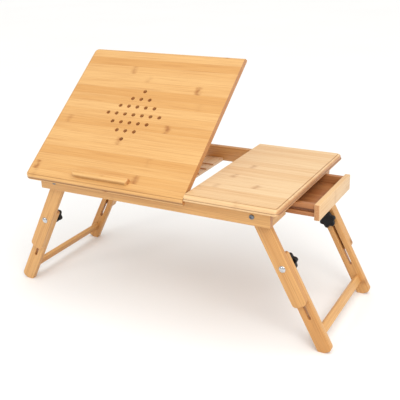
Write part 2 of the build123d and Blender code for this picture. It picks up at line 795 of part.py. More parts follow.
def main():
    nodes = all_nodes()
    shift = base_shift(nodes)
    os.makedirs("parts", exist_ok=True)
    for name, shape in nodes.items():
        export_step(shift * shape, f"parts/{name}.step")
    print(len(nodes), "nodes, shifted by", shift.position)


main()
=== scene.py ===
# %% [markdown]
# # A bamboo bed table for a laptop
# The real object is a small folding table of laminated bamboo. Its left part tilts as a
# reading panel, its right part is fixed and covers a drawer, and four splayed legs slide
# and clamp to a height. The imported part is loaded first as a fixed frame: every piece
# made below takes its place and size from it, so nothing has to be fitted by eye.

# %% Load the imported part
import json
import math
import bmesh
import bpy
import numpy as np
from mathutils import Matrix, Vector


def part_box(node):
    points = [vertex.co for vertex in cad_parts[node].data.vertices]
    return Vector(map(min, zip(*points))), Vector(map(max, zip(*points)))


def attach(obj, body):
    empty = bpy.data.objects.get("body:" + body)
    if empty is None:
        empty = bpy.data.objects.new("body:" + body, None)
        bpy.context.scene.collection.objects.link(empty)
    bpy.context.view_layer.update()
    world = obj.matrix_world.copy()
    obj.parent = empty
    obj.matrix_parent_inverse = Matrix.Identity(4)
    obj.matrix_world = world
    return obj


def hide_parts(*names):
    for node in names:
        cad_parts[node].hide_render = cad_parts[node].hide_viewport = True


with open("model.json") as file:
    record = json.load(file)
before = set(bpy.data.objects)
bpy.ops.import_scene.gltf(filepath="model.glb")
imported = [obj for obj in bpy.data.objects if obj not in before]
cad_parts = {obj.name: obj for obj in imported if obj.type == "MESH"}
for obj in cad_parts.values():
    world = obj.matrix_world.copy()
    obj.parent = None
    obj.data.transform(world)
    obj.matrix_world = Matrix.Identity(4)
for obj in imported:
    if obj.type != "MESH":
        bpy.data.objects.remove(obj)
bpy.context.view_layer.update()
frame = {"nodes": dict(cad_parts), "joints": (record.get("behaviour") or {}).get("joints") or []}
joints = {joint["name"]: joint for joint in frame["joints"]}
MM = 0.001

# %% [markdown]
# ## Frames of reference
# A joiner marks out a slanted board flat on the bench and fits it slanted. The same is
# done here: each slanted group gets its own frame, built from the joints, with X, Y and Z
# along its boards. Boards are made straight in that frame and then carried to the object
# by the frame's matrix, which is left in the mesh and not on the object.

# %% The level frame, the panel's, the prop's and the legs'
def frame_from(origin, x_axis, z_axis):
    x = Vector(x_axis).normalized()
    z = Vector(z_axis).normalized()
    turn = Matrix((x, z.cross(x), z)).transposed().to_4x4()
    return Matrix.Translation(Vector(origin)) @ turn


level = Matrix.Identity(4)
tilt_angle = math.radians(joints["panel_tilt"]["range_deg"][1])
panel_place = frame_from(joints["panel_tilt"]["pos_m"], (1, 0, 0),
                         (0, -math.sin(tilt_angle), math.cos(tilt_angle)))
leg_place = {}
for side in ("right", "left"):
    up_the_leg = Vector(joints[f"{side}_legs_shorten"]["axis"])
    across = Vector((0, 1, 0)).cross(up_the_leg)
    leg_place[side] = frame_from(joints[f"{side}_legs_fold"]["pos_m"], across, up_the_leg)
foot_low, foot_high = (Vector(corner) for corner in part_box("prop_foot_bar"))
prop_pin = Vector(joints["prop_swing"]["pos_m"])
prop_run = (foot_low + foot_high) / 2 - prop_pin
prop_run.x = 0
prop_place = frame_from(prop_pin, (1, 0, 0), Vector((1, 0, 0)).cross(prop_run))
print("panel tilted", round(math.degrees(tilt_angle), 2), "degrees")


# %% [markdown]
# A slanted board's box in the room says little about its length or thickness. Its corners
# are therefore measured in the board's own frame, from the points of its CAD mesh. The
# pieces below are all made to these two corners.

# %% How big a node is in one of those frames
def node_span(node, place=level):
    """Lowest and highest corner of a CAD node, measured in a frame."""
    mesh = frame["nodes"][node].data
    spots = np.empty(len(mesh.vertices) * 3)
    mesh.vertices.foreach_get("co", spots)
    spots = spots.reshape(-1, 3)
    back = np.array(place.inverted())
    spots = spots @ back[:3, :3].T + back[:3, 3]
    return Vector(spots.min(axis=0)), Vector(spots.max(axis=0))


for node, place in (("tilt_panel", panel_place), ("right_rear_upper_leg", leg_place["right"])):
    low, high = node_span(node, place)
    print(node, "is", [round(length / MM, 1) for length in high - low], "mm")

# %% [markdown]
# ## Camera
# The photograph is taken from the front right and a little above, from one and a half
# metres away. The camera is given as a photographer would: where it looks, from which
# bearing and height, how far off, and with which lens. It could be moved by hand until the
# picture fits, but named angles are easier to correct one at a time.

# %% The camera
camera_aim = Vector((0.030, 0.002, 0.203))
camera_bearing = 28.8
camera_height_angle = 21.4
camera_distance = 1.464
camera_roll = -1.7
camera_lens = 64.0
sensor_width = 36.0

bearing = math.radians(camera_bearing)
rise = math.radians(camera_height_angle)
outward = Vector((math.sin(bearing) * math.cos(rise), -math.cos(bearing) * math.cos(rise),
                  math.sin(rise)))
camera_data = bpy.data.cameras.new("camera")
camera_data.lens = camera_lens
camera_data.sensor_width = sensor_width
camera = bpy.data.objects.new("camera", camera_data)
bpy.context.scene.collection.objects.link(camera)
camera_turn = outward.to_track_quat("Z", "Y").to_matrix().to_4x4()
camera.matrix_world = (Matrix.Translation(camera_aim + outward * camera_distance)
                       @ camera_turn @ Matrix.Rotation(math.radians(camera_roll), 4, "Z"))
bpy.context.scene.camera = camera
print("camera at", [round(v, 3) for v in camera.location])


# %% [markdown]
# ## Light
# The product stands in a white studio, so its shadows are faint. Most of the light is a
# very wide sun, which works as a bright ceiling. A soft lamp at the front right models the
# boards, a small one at the front left puts glints on the metal, and a pale world fills
# the rest. The camera sees that world a little brighter, so the backdrop stays white.

# %% Soft studio light
def soft_light(name, place, aim, size, power, colour):
    data = bpy.data.lights.new(name, "AREA")
    data.shape = "DISK"
    data.size = size
    data.energy = power
    data.color = colour
    lamp = bpy.data.objects.new(name, data)
    lamp.location = place
    lamp.rotation_euler = (Vector(place) - Vector(aim)).to_track_quat("Z", "Y").to_euler()
    bpy.context.scene.collection.objects.link(lamp)
    return lamp


table_middle = (0, 0, 0.2)
ceiling_power = 1.45
ceiling_spread = math.radians(75)
ceiling_lean = (math.radians(12), math.radians(18), 0)
soft_light("key", (1.3, -1.3, 1.7), table_middle, 1.2, 15, (1.0, 0.985, 0.96))
soft_light("glint", (-0.9, -1.9, 1.2), table_middle, 0.5, 5, (1.0, 1.0, 1.0))
ceiling_data = bpy.data.lights.new("ceiling", "SUN")
ceiling_data.energy = ceiling_power
ceiling_data.angle = ceiling_spread
ceiling = bpy.data.objects.new("ceiling", ceiling_data)
ceiling.rotation_euler = ceiling_lean
bpy.context.scene.collection.objects.link(ceiling)

# %% The bright surround
surround_colour = (1.0, 0.99, 0.98, 1)
surround_strength = 0.72
more_for_the_camera = 0.32
surround = bpy.data.worlds.new("studio")
surround.use_nodes = True
sky = surround.node_tree
rays = sky.nodes.new("ShaderNodeLightPath")
seen = sky.nodes.new("ShaderNodeMath")
seen.operation = "MULTIPLY_ADD"
seen.inputs[1].default_value = more_for_the_camera
seen.inputs[2].default_value = surround_strength
sky.links.new(rays.outputs["Is Camera Ray"], seen.inputs[0])
sky.links.new(seen.outputs[0], sky.nodes["Background"].inputs["Strength"])
sky.nodes["Background"].inputs["Color"].default_value = surround_colour
bpy.context.scene.world = surround
bpy.context.scene.view_settings.view_transform = "Standard"
print("a broad ceiling light, two soft lamps and a bright surround")


# %% [markdown]
# ## A small kit for nodes
# All finishes are built from nodes, so a few short helpers keep the recipes readable:
# one adds a node and sets its values, one makes a maths step, and one blends colours.

# %% Helpers that add shader nodes
class Recipe:
    """One material being put together from nodes."""

    def __init__(self, name):
        self.material = bpy.data.materials.new(name)
        self.material.use_nodes = True
        self.tree = self.material.node_tree
        self.shader = self.tree.nodes["Principled BSDF"]

    def add(self, kind, inputs=None, **settings):
        node = self.tree.nodes.new(kind)
        for key, value in settings.items():
            setattr(node, key, value)
        for key, value in (inputs or {}).items():
            self.feed(node.inputs[key], value)
        return node

    def feed(self, socket, value):
        if isinstance(value, bpy.types.NodeSocket):
            self.tree.links.new(value, socket)
        else:
            socket.default_value = value

    def maths(self, operation, first, second=0.0, third=0.0):
        node = self.add("ShaderNodeMath", {0: first, 1: second, 2: third}, operation=operation)
        return node.outputs[0]

    def blend(self, amount, first, second):
        node = self.add("ShaderNodeMix", {0: amount, 6: first, 7: second},
                        data_type="RGBA", blend_type="MIX", clamp_factor=True)
        return node.outputs[2]

    def scaled(self, vector, factors):
        node = self.add("ShaderNodeVectorMath", {0: vector, 1: factors}, operation="MULTIPLY")
        return node.outputs[0]

    def mark(self, name):
        return self.add("ShaderNodeAttribute", attribute_name=name).outputs["Fac"]

    def roughen(self, height, strength, distance):
        bump = self.add("ShaderNodeBump", {"Height": height, "Strength": strength,
                        "Distance": distance})
        self.feed(self.shader.inputs["Normal"], bump.outputs[0])

    def remap(self, value, low, high, to_low=0.0, to_high=1.0):
        node = self.add("ShaderNodeMapRange", {"Value": value, "From Min": low,
                        "From Max": high, "To Min": to_low, "To Max": to_high},
                        interpolation_type="SMOOTHSTEP")
        return node.outputs["Result"]

    def noise(self, vector, scale, detail, roughness=0.5):
        node = self.add("ShaderNodeTexNoise", {"Vector": vector, "Scale": scale,
                        "Detail": detail, "Roughness": roughness})
        return node.outputs["Fac"]

    def finish(self, **sockets):
        for key, value in sockets.items():
            self.feed(self.shader.inputs[key.replace("_", " ")], value)
        return self.material


print("node helpers ready")

# %% [markdown]
# ## Bamboo
# The real boards are glued from bamboo strips about 20 mm wide, each with a shade of its
# own and fine straight fibres. The pattern could be painted on, but here it is three
# dimensional, in the coordinates of the object, so that edges and end grain follow from
# it. A Mapping node turns it into the frame of each group of boards.

# %% Strips and fibres
fine_fibres = (9.0, 900.0, 900.0)
broad_fibres = (3.0, 95.0, 95.0)


def board_space(recipe, place, grain):
    """Coordinates with X along the fibres of a frame's boards."""
    spot = recipe.add("ShaderNodeTexCoord").outputs["Object"]
    turn = {"X": Matrix.Identity(3), "Y": Matrix.Rotation(math.radians(90), 3, "Z"),
            "Z": Matrix.Rotation(math.radians(-90), 3, "Y")}[grain]
    facing = (place.to_3x3() @ turn).to_euler()
    return recipe.add("ShaderNodeMapping", {"Vector": spot, "Location": place.translation,
                      "Rotation": facing}, vector_type="TEXTURE").outputs[0]


def strips(recipe, side, strip, seed):
    """The number of the strip, how far across it a point lies, and two chances."""
    lane = recipe.maths("ADD", recipe.maths("DIVIDE", side, strip), 40.37 + seed)
    number = recipe.maths("FLOOR", lane)
    within = recipe.maths("SUBTRACT", lane, number)
    chances = []
    for apart in (0.0, 91.7):
        draw = recipe.maths("ADD", number, apart)
        chance = recipe.add("ShaderNodeTexWhiteNoise", {"W": draw}, noise_dimensions="1D")
        chances.append(chance.outputs["Value"])
    return number, within, chances[0], chances[1]


def fibres(recipe, board, number):
    """Noise drawn out along the grain and shifted from strip to strip."""
    slide = recipe.add("ShaderNodeCombineXYZ", {0: recipe.maths("MULTIPLY", number, 0.73)})
    moved = recipe.add("ShaderNodeVectorMath", {0: board, 1: slide.outputs[0]},
                       operation="ADD").outputs[0]
    fine = recipe.noise(recipe.scaled(moved, fine_fibres), 1.0, 3.0, 0.6)
    broad = recipe.noise(recipe.scaled(moved, broad_fibres), 1.0, 4.0, 0.6)
    return moved, fine, broad


print("fibres", fine_fibres[1] / fine_fibres[0], "times as long as wide")


# %% [markdown]
# Bamboo is a hollow cane with a node every 20 to 30 cm. On a sawn strip a node shows as a
# brown smudge with a thin darker line across it. White noise draws the place and the
# strength of each one, so no two strips match, and a soft cloud keeps it from looking
# like a printed mark.

# %% The cane's nodes
node_spacing = 0.235
cloud_size = (70.0, 90.0, 90.0)


def cane_nodes(recipe, run, number, shift, moved, broad, strength):
    """How strong the smudge and the line of a node are at a point."""
    step = recipe.maths("ADD", recipe.maths("DIVIDE", run, node_spacing),
                        recipe.maths("MULTIPLY", shift, 7.0))
    cell = recipe.add("ShaderNodeCombineXYZ", {0: number, 1: recipe.maths("FLOOR", step)})
    lot = recipe.add("ShaderNodeTexWhiteNoise", {"Vector": cell.outputs[0]}).outputs["Value"]
    cloud = recipe.noise(recipe.scaled(moved, cloud_size), 1.0, 1.0)
    wobble = recipe.maths("MULTIPLY", recipe.maths("SUBTRACT", broad, 0.5), 0.05)
    along = recipe.maths("FRACT", recipe.maths("ADD", step, wobble))
    away = recipe.maths("ABSOLUTE", recipe.maths("SUBTRACT", along, 0.5))
    kept = recipe.maths("MULTIPLY", recipe.remap(lot, 0.30, 0.90), strength)
    smudge = recipe.maths("MULTIPLY", recipe.remap(away, 0.046, 0.006),
                          recipe.remap(cloud, 0.30, 0.62, 0.15, 1.0))
    line = recipe.maths("MULTIPLY", recipe.remap(away, 0.016, 0.002),
                        recipe.maths("MULTIPLY", kept, 0.30))
    return recipe.maths("MULTIPLY", smudge, kept), line


print("a node every", round(node_spacing / MM), "mm of a strip")


# %% [markdown]
# Colour goes on in layers, as a finisher would see it: the strip's own tone, dark fibres,
# nodes, glue lines, redder end grain, a painted shade in hollows and on faces turned from the
# light, and paler edges where hands have rubbed. The last three follow marks that each mesh
# carries, for end grain, painted shade and worn edges. The lacquer itself is satin and drier
# along the fibres.

# %% The bamboo recipe
end_grain_tone = (0.40, 0.140, 0.042, 1)
# The colour of the painted shade in the marked hollows and on faces turned from the light.
painted_shade_tone = (0.17, 0.050, 0.013, 1)


def deeper(colour, share):
    """A darker and redder relative of a colour."""
    return (colour[0] * share, colour[1] * share ** 1.35, colour[2] * share ** 1.6, 1.0)


def bamboo(name, place, grain, strip, tones, node_strength, seed):
    """Lacquered bamboo with its grain along X, Y or Z of a frame."""
    pale, mid, deep = tones
    recipe = Recipe(name)
    board = board_space(recipe, place, grain)
    parts = recipe.add("ShaderNodeSeparateXYZ", {0: board})
    number, within, shade, shift = strips(recipe, parts.outputs[1], strip, seed)
    moved, fine, broad = fibres(recipe, board, number)
    smudge, line = cane_nodes(recipe, parts.outputs[0], number, shift, moved, broad,
                              node_strength)
    tone = recipe.maths("ADD", recipe.maths("MULTIPLY", shade, 0.60),
                        recipe.maths("MULTIPLY", broad, 0.75))
    body = recipe.blend(recipe.remap(tone, 0.34, 0.98), pale, mid)
    body = recipe.blend(recipe.remap(fine, 0.42, 0.76, 0.0, 0.62), body, deep)
    body = recipe.blend(smudge, body, deeper(deep, 0.92))
    body = recipe.blend(line, body, deeper(deep, 0.5))
    edge_gap = recipe.maths("ABSOLUTE", recipe.maths("SUBTRACT", within, 0.5))
    glue = recipe.remap(edge_gap, 0.480, 0.4985, 0.0, 0.30)
    body = recipe.blend(glue, body, deeper(deep, 0.8))
    cut_end = recipe.mark("end_grain")
    pores = recipe.maths("MULTIPLY", cut_end, recipe.remap(fine, 0.35, 0.65, 0.45, 0.85))
    body = recipe.blend(pores, body, end_grain_tone)
    # Painted shade: the marked faces are blended towards a dark brown, more strongly on end grain.
    shade_strength = recipe.maths("MULTIPLY_ADD", cut_end, 0.35, 0.60)
    painted_shade_share = recipe.maths("MULTIPLY", recipe.mark("painted_shade"), shade_strength)
    body = recipe.blend(painted_shade_share, body, painted_shade_tone)
    worn = recipe.maths("MULTIPLY", recipe.mark("arris"),
                        recipe.remap(broad, 0.30, 0.60, 0.10, 0.45))
    rubbed = (min(pale[0] * 1.06, 1), min(pale[1] * 1.08, 1), pale[2] * 1.12, 1)
    body = recipe.blend(worn, body, rubbed)
    height = recipe.maths("ADD", recipe.maths("MULTIPLY", fine, 0.6),
                          recipe.maths("MULTIPLY", glue, -0.8))
    recipe.roughen(height, 0.09, 0.3 * MM)
    return recipe.finish(Base_Color=body, Roughness=recipe.remap(fine, 0.3, 0.8, 0.34, 0.50),
                         Coat_Weight=0.06, Coat_Roughness=0.25, Specular_IOR_Level=0.4)


print("bamboo recipe ready")


# %% [markdown]
# One recipe serves every board. What differs is the frame, the way of the grain, the width
# of the strips and the tones: honey for the tilting panel, cream for the fixed one, tan for
# the other rails and the legs, and darker tones that paint in shade: on the drawer's sides
# and bottom and the runners and guides round it, and on the rear rail and the prop under
# the panel.

# %% Tones, and a finish for each group of boards
def shades(pale, mid, deep):
    """Three linear colours from pale to deep."""
    return tuple(tuple(c) + (1.0,) for c in (pale, mid, deep))


honey = shades((0.71, 0.420, 0.160), (0.62, 0.320, 0.097), (0.40, 0.155, 0.035))
cream = shades((0.78, 0.550, 0.300), (0.72, 0.460, 0.220), (0.48, 0.225, 0.080))
tan = shades((0.68, 0.380, 0.140), (0.58, 0.280, 0.084), (0.34, 0.130, 0.034))
# Painted shade: darker tones for the boards in and round the drawer, which lie in shadow.
shadowed_inside = shades((0.43, 0.180, 0.062), (0.34, 0.115, 0.034), (0.18, 0.048, 0.012))
pinkish = shades((0.62, 0.425, 0.260), (0.53, 0.320, 0.170), (0.33, 0.160, 0.070))
# Painted shade: a darker tan for the rear rail and the prop, which lie in shadow.
shadowed_tan = shades((0.54, 0.275, 0.095), (0.44, 0.190, 0.055), (0.25, 0.085, 0.022))
bamboos = {
    "panel": ("tilting panel bamboo", panel_place, "X", 0.020, honey, 0.80, 7.4),
    "ledge": ("ledge bamboo", panel_place, "X", 0.011, honey, 0.5, 1.3),
    "side_top": ("fixed panel bamboo", level, "X", 0.0205, cream, 0.55, 3.2),
    "long_rail": ("long rail bamboo", level, "X", 0.034, tan, 0.6, 5.1),
    "rear_rail": ("rear rail bamboo", level, "X", 0.030, shadowed_tan, 0.6, 6.6),
    "cross_rail": ("cross rail bamboo", level, "Y", 0.034, tan, 0.6, 7.4),
    "drawer_run": ("drawer side bamboo", level, "X", 0.030, shadowed_inside, 0.5, 9.2),
    "drawer_cross": ("drawer front bamboo", level, "Y", 0.034, cream, 0.5, 11.9),
    "rack": ("rack bamboo", level, "Y", 0.010, pinkish, 0.4, 13.1),
    "prop": ("prop bamboo", prop_place, "Z", 0.012, shadowed_tan, 0.4, 15.3),
    "prop_cross": ("prop cross bamboo", prop_place, "X", 0.014, shadowed_tan, 0.4, 17.3),
    "right_leg": ("right leg bamboo", leg_place["right"], "Z", 0.014, tan, 0.6, 19.6),
    "left_leg": ("left leg bamboo", leg_place["left"], "Z", 0.014, tan, 0.6, 21.7),
    "right_bar": ("right cross board bamboo", leg_place["right"], "Y", 0.022, tan, 0.4, 23.4),
    "left_bar": ("left cross board bamboo", leg_place["left"], "Y", 0.022, tan, 0.4, 25.8),
}
finishes = {key: bamboo(*values) for key, values in bamboos.items()}
grain_way = {key: values[1].to_3x3() @ Vector([float(axis == values[2]) for axis in "XYZ"])
             for key, values in bamboos.items()}
print(len(finishes), "bamboo finishes")


# %% [markdown]
# ## Metal and plastic
# The clamping bolts and hinges are bright plated steel with a faint brushed grain and a
# little grime, and the pivot bolts are duller zinc. The star knobs are black moulded
# plastic with the fine texture of their mould, a little lighter on the worn rims.

# %% Plated steel, dull steel and black plastic
def plated(name, colour, rough_low, rough_high):
    recipe = Recipe(name)
    spot = recipe.add("ShaderNodeTexCoord").outputs["Object"]
    scratch = recipe.noise(recipe.add("ShaderNodeMapping", {"Vector": spot,
                           "Scale": (300.0, 2400.0, 2400.0)}).outputs[0], 1.0, 4.0)
    cloud = recipe.noise(spot, 180.0, 3.0)
    dull = tuple(c * 0.72 for c in colour[:3]) + (1,)
    tint = recipe.blend(recipe.remap(cloud, 0.45, 0.75), colour, dull)
    rough = recipe.remap(scratch, 0.25, 0.75, rough_low, rough_high)
    recipe.roughen(scratch, 0.08, 0.2 * MM)
    return recipe.finish(Base_Color=tint, Roughness=rough, Metallic=1.0)


def moulded(name, colour, rough):
    recipe = Recipe(name)
    spot = recipe.add("ShaderNodeTexCoord").outputs["Object"]
    grain = recipe.noise(spot, 2600.0, 2.0)
    cloud = recipe.noise(spot, 90.0, 2.0)
    lighter = tuple(min(c * 2.2 + 0.004, 1) for c in colour[:3]) + (1,)
    tint = recipe.blend(recipe.maths("MULTIPLY", recipe.mark("arris"), 0.5), colour, lighter)
    shine = recipe.remap(cloud, 0.3, 0.7, rough, rough + 0.15)
    recipe.roughen(grain, 0.15, 0.2 * MM)
    return recipe.finish(Base_Color=tint, Roughness=shine, Specular_IOR_Level=0.25)


finishes["bright"] = plated("bright plated steel", (0.60, 0.61, 0.63, 1), 0.08, 0.20)
finishes["dull"] = plated("dull zinc steel", (0.20, 0.215, 0.24, 1), 0.26, 0.42)
finishes["black"] = moulded("black moulded plastic", (0.006, 0.006, 0.0065, 1), 0.36)
finishes["white"] = moulded("white moulded plastic", (0.70, 0.70, 0.67, 1), 0.45)
print(len(finishes), "finishes in all")


# %% [markdown]
# ## Making and settling a piece
# Every piece is shaped in a bmesh with modelling operators.

# %% Start, paint and soften
weld = 1e-6
sharp_from = math.radians(32)


def fresh():
    """An empty bmesh with its marks for worn edges, painted shade and end grain."""
    bm = bmesh.new()
    for mark in ("arris", "painted_shade", "end_grain"):
        bm.loops.layers.float.new(mark)
    return bm


def paint(bm, mark, faces, amount=1.0):
    """Writes a mark on whole faces."""
    layer = bm.loops.layers.float[mark]
    for face in faces:
        for loop in face.loops:
            loop[layer] = amount


def paint_end_grain(bm, way):
    """Marks the faces that cut across the fibres."""
    for face in bm.faces:
        across = abs(face.normal.dot(way))
        paint(bm, "end_grain", [face], min(max((across - 0.45) / 0.4, 0.0), 1.0))


def soften(bm, edges, width, segments=3):
    """Rounds edges and marks the new faces as worn."""
    made = bmesh.ops.bevel(bm, geom=list(edges), offset=width, offset_type="OFFSET",
                           segments=segments, profile=0.5, affect="EDGES", material=-1,
                           clamp_overlap=True)
    paint(bm, "arris", made["faces"])


def creases(bm, least=30.0):
    """The edges where two faces meet at a clear angle."""
    return [e for e in bm.edges if len(e.link_faces) == 2
            and e.calc_face_angle(0) > math.radians(least)]


# %% Settle a piece
def settle(bm, name, body, finish, stands_for, place=level):
    """Puts a finished bmesh in its place, as a piece that rides on a body."""
    bmesh.ops.remove_doubles(bm, verts=bm.verts, dist=weld)
    bmesh.ops.transform(bm, matrix=place, verts=bm.verts)
    bmesh.ops.recalc_face_normals(bm, faces=bm.faces)
    bm.normal_update()
    if finish in grain_way:
        paint_end_grain(bm, grain_way[finish])
    mesh = bpy.data.meshes.new(name)
    bm.to_mesh(mesh)
    bm.free()
    mesh.shade_smooth()
    mesh.set_sharp_from_angle(angle=sharp_from)
    piece = bpy.data.objects.new(name, mesh)
    bpy.context.scene.collection.objects.link(piece)
    mesh.materials.append(finishes[finish])
    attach(piece, body)
    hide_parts(*stands_for)
    print(name, "has", len(mesh.polygons), "faces")
    return piece


# %% [markdown]
# Holes, slots, seats and notches are cut as in the workshop, with a tool of the right
# shape. A Boolean modifier takes the tool's shape out of the board, on two temporary
# objects that are thrown away again. It is exact, where a hand-made ring of faces round
# each hole would take far more steps.

# %% Cutting with another shape
def loose(bm, name):
    """A temporary object from a bmesh."""
    bmesh.ops.recalc_face_normals(bm, faces=bm.faces)
    mesh = bpy.data.meshes.new(name)
    bm.to_mesh(mesh)
    shape = bpy.data.objects.new(name, mesh)
    bpy.context.scene.collection.objects.link(shape)
    return shape


def carve(bm, cutter):
    """Takes the cutter's shape out of a piece."""
    work, tool = loose(bm, "work"), loose(cutter, "tool")
    cut = work.modifiers.new("cut", "BOOLEAN")
    cut.object = tool
    cut.operation = "DIFFERENCE"
    cut.solver = "EXACT"
    bpy.context.view_layer.update()
    shaped = work.evaluated_get(bpy.context.evaluated_depsgraph_get())
    result = bpy.data.meshes.new_from_object(shaped)
    bm.clear()
    bm.from_mesh(result)
    cutter.free()
    for shape in (work, tool):
        old = shape.data
        bpy.data.objects.remove(shape)
        bpy.data.meshes.remove(old)
    bpy.data.meshes.remove(result)
    return bm


print("modelling helpers ready")


# %% [markdown]
# ## Plain boards
# Rails, drawer boards and guides are sawn square and their edges are broken with
# sandpaper. A cube is stretched to the node's size and its twelve edges are bevelled in
# three steps, which gives each board its thin line of light.

# %% A board with broken edges
def cuboid(bm, low, high):
    """Adds a box between two corners."""
    made = bmesh.ops.create_cube(bm, size=1.0)["verts"]
    bmesh.ops.scale(bm, vec=high - low, verts=made)
    bmesh.ops.translate(bm, vec=(high + low) / 2, verts=made)
    return made


board_round = 0.8 * MM


def board(node, body, slot, finish, place=level, soft=board_round):
    bm = fresh()
    cuboid(bm, *node_span(node, place))
    soften(bm, bm.edges, soft)
    return settle(bm, f"{node}_board", body, finish, [node], place)


board("rear_rail", "frame", "bamboo_frame", "rear_rail")
for node in ("left_end_rail", "right_end_rail_rear", "right_end_rail_front"):
    board(node, "frame", "bamboo_frame", "cross_rail")
for node in ("drawer_guide_rear", "drawer_guide_front"):
    board(node, "frame", "bamboo_inner", "drawer_run")

# %% [markdown]
# The front rail carries the tilting panel's two hinges. Their leaves lie in shallow seats
# at its top, so that the panel can close flat. Each seat is cut with a plain block after
# the rail's edges are rounded, because a chiselled seat keeps its crisp corners.

# %% The front rail with its hinge seats
leaf_length = 40 * MM
leaf_depth = 9.5 * MM
leaf_seat = 2.7 * MM
seat_ease = 0.3 * MM
past = 1 * MM


def hinged_rail():
    bm = fresh()
    low, high = node_span("front_rail")
    cuboid(bm, low, high)
    soften(bm, bm.edges, board_round)
    hinges_low, hinges_high = node_span("hinge_frame_leaves")
    for start in (hinges_low.x, hinges_high.x - leaf_length):
        seat = fresh()
        cuboid(seat, Vector((start - seat_ease, low.y - past, high.z - leaf_seat)),
               Vector((start + leaf_length + seat_ease, low.y + leaf_depth + seat_ease,
                       high.z + past)))
        carve(bm, seat)
    print("front rail volume", round(bm.calc_volume() * 1e6, 1), "cm3")
    return settle(bm, "front_rail_board", "frame", "long_rail", ["front_rail"])


hinged_rail()

# %% [markdown]
# ## The moulded panels
# A router runs round three sides of each panel and leaves a round bead at the bottom, a
# hollow above it, a quarter round, and a small step where the flat top begins; the hollow and
# the step get a painted shade. The profile is drawn once at the plain edge, then carried
# round as the router goes: extruded along each side and spun round each corner. Three flat
# faces close the board.

# %% The moulding's profile
bead_height = 4.6 * MM
hollow_depth = 1.7 * MM
round_radius = 4.4 * MM
step_height = 1.1 * MM
flat_inset = 7.6 * MM
corner_radius = 12.0 * MM


def arc(centre, radius, start, end, steps):
    """Points of an arc as (inwards, up); 180 degrees points outwards."""
    points = []
    for i in range(steps + 1):
        turn = math.radians(start + (end - start) * i / steps)
        points.append((centre[0] + radius * math.cos(turn), centre[1] + radius * math.sin(turn)))
    return points


def moulding(thickness):
    """The edge from the underside to the flat top."""
    half = bead_height / 2
    bead = arc((half, half), half, 270, 110, 8)
    foot = bead[-1][1] + 0.3 * MM
    top = thickness - step_height
    shoulder = arc((hollow_depth + round_radius, top - round_radius), round_radius, 180, 90, 7)
    points = bead + [(hollow_depth, foot)] + shoulder
    points.append((flat_inset - 0.5 * MM, top))
    points.append((flat_inset - 0.3 * MM, thickness - 0.3 * MM))
    points.append((flat_inset + 0.1 * MM, thickness))
    return points


print("profile of", len(moulding(12 * MM)), "points")


# %% [markdown]
# Extruding gives the straight sides and spinning the corners, so the profile stays true
# all the way round. A bevelled box would be quicker, but it has no hollow and no bead.

# %% A panel with three moulded sides
def carry(bm, edges, step):
    """Extrudes a row of edges along a straight side."""
    made = bmesh.ops.extrude_edge_only(bm, edges=edges)["geom"]
    ends = [g for g in made if isinstance(g, bmesh.types.BMVert)]
    bmesh.ops.translate(bm, vec=step, verts=ends)
    return [g for g in made if isinstance(g, bmesh.types.BMEdge)
            and all(v in ends for v in g.verts)]


def swing(bm, edges, centre, angle):
    """Spins a row of edges round a corner."""
    made = bmesh.ops.spin(bm, geom=edges, cent=centre, axis=(0, 0, 1), dvec=(0, 0, 0),
                          angle=angle, steps=10, use_merge=False, use_duplicate=False)
    return [g for g in made["geom_last"] if isinstance(g, bmesh.types.BMEdge)]


def close_flat_faces(bm, low, high, plain):
    """Fills the top, the underside and the plain end of a panel."""
    for height in (low.z, high.z):
        rim = [e for e in bm.edges if e.is_boundary
               and all(abs(v.co.z - height) < weld for v in e.verts)]
        ends = [v for v in {v for e in rim for v in e.verts} if abs(v.co.x - plain) < weld]
        rim.append(bm.edges.new(ends))
        bmesh.ops.contextual_create(bm, geom=rim)
    end = [e for e in bm.edges if e.is_boundary]
    bmesh.ops.contextual_create(bm, geom=end)


def mark_moulding(bm, low, high):
    """Paints shade into the moulding's groove, and a fainter one along its small step."""
    paint(bm, "painted_shade", bm.faces, 0.0)
    for face in bm.faces:
        up = face.calc_center_median().z - low.z
        in_hollow = bead_height - 0.9 * MM < up < bead_height + 1.1 * MM
        at_step = high.z - low.z - step_height * 1.01 < up < high.z - low.z - 0.01 * MM
        if in_hollow or at_step:
            paint(bm, "painted_shade", [face], 1.0 if in_hollow else 0.45)


def moulded_panel(low, high, plain_at_right):
    """A panel between two corners; the side without moulding is the split."""
    bm = fresh()
    sign = 1 if plain_at_right else -1
    plain = high.x if plain_at_right else low.x
    far = low.x if plain_at_right else high.x
    points = moulding(high.z - low.z)
    spots = [bm.verts.new((plain, low.y + inward, low.z + up)) for inward, up in points]
    row = [bm.edges.new(pair) for pair in zip(spots, spots[1:])]
    straight = abs(plain - far) - corner_radius
    row = carry(bm, row, (-sign * straight, 0, 0))
    front_centre = Vector((far + sign * corner_radius, low.y + corner_radius, 0))
    row = swing(bm, row, front_centre, -sign * math.radians(90))
    row = carry(bm, row, (0, high.y - low.y - 2 * corner_radius, 0))
    back_centre = Vector((front_centre.x, high.y - corner_radius, 0))
    row = swing(bm, row, back_centre, -sign * math.radians(90))
    row = carry(bm, row, (sign * straight, 0, 0))
    bmesh.ops.remove_doubles(bm, verts=bm.verts, dist=weld)
    close_flat_faces(bm, low, high, plain)
    mark_moulding(bm, low, high)
    return bm


tilt_low, tilt_high = node_span("tilt_panel", panel_place)
fixed_low, fixed_high = node_span("fixed_panel")
settle(moulded_panel(fixed_low, fixed_high, False), "fixed_top", "frame",
       "side_top", ["fixed_panel"])

# %% [markdown]
# The tilting panel also has 25 vent holes, drilled on a square grid that stands on its
# corner. A drill is a profile spun round the hole's axis, wider at both ends, so one cut
# leaves the hole and its two small countersinks.

# %% The tilting panel and its vent holes
vent_radius = 4.1 * MM
vent_pitch = 20.2 * MM
vent_off_centre = 3.0 * MM
vent_behind_middle = 4.0 * MM
vent_rows = (1, 3, 5, 7, 5, 3, 1)
lip = 0.5 * MM


